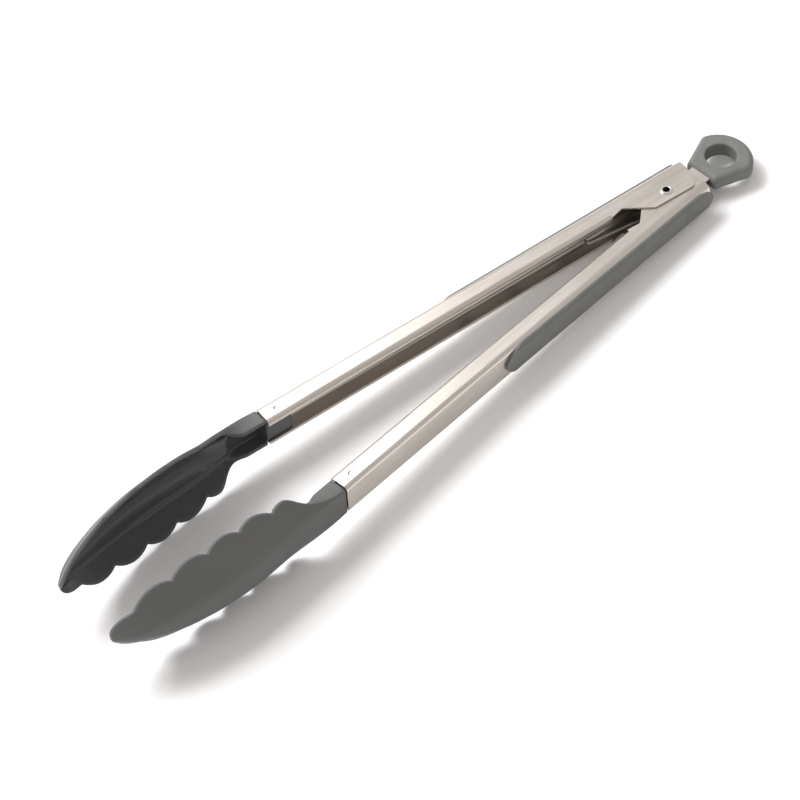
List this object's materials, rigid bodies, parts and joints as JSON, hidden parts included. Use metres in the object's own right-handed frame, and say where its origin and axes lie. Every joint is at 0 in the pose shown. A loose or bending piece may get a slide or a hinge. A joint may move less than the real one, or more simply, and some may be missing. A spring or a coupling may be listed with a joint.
{
  "type": "spring loaded kitchen tongs",
  "caption": "Sprung kitchen tongs: channel-section steel arms with soft grip pads and scalloped moulded scoop heads, joined by a hollow rivet, with a hanging ring that pulls out to lock them.",
  "frame": {"origin": "under the middle of the open tongs, level with the lowest lobes of the heads", "axes": "+X from the heads to the hanging ring, +Z along the pivot rivet, +Y towards the outer (far) arm"},
  "size_m": [0.3524, 0.064, 0.042],
  "materials": {
    "stainless_steel": "brushed along the arm, satin",
    "grip_rubber": "matte, fine eggshell texture",
    "ring_rubber": "matte, fine eggshell texture",
    "head_nylon": "satin outside, smoother and glossier inside the scoop",
    "rivet_bright": "bright",
    "spring_steel": "rolled strip",
    "bush_plastic": "plain moulded"
  },
  "bodies": {
    "pivot": {"pivot_rivet": "rivet_bright", "bush_upper": "bush_plastic", "bush_lower": "bush_plastic", "spring_bush": "bush_plastic", "leaf_spring": "spring_steel"},
    "far_side": {"arm_far": "stainless_steel", "grip_far": "grip_rubber", "head_far": "head_nylon"},
    "near_side": {"arm_near": "stainless_steel", "grip_near": "grip_rubber", "head_near": "head_nylon"},
    "lock_tab": {"lock_strip": "stainless_steel", "pull_ring": "ring_rubber"}
  },
  "joints": [
    {"name": "far_hinge", "type": "hinge", "parent": "pivot", "child": "far_side", "pos_m": [0.12936, 0, 0.021], "axis": [0, 0, 1], "range_deg": [0, 2.5], "stiffness_Nm_per_rad": 2, "springref_deg": -8.59, "deforming": ["leaf_spring"]},
    {"name": "near_hinge", "type": "hinge", "parent": "pivot", "child": "near_side", "pos_m": [0.12936, 0, 0.021], "axis": [0, 0, -1], "range_deg": [0, 2.5], "stiffness_Nm_per_rad": 2, "springref_deg": -8.59, "deforming": ["leaf_spring"]},
    {"name": "lock_slide", "type": "slide", "parent": "pivot", "child": "lock_tab", "axis": [0.9991, 0.0419, 0], "range_m": [0, 0.007]}
  ],
  "couplings": [
    {"joint": "near_hinge", "follows": "far_hinge", "ratio": 1}
  ]
}
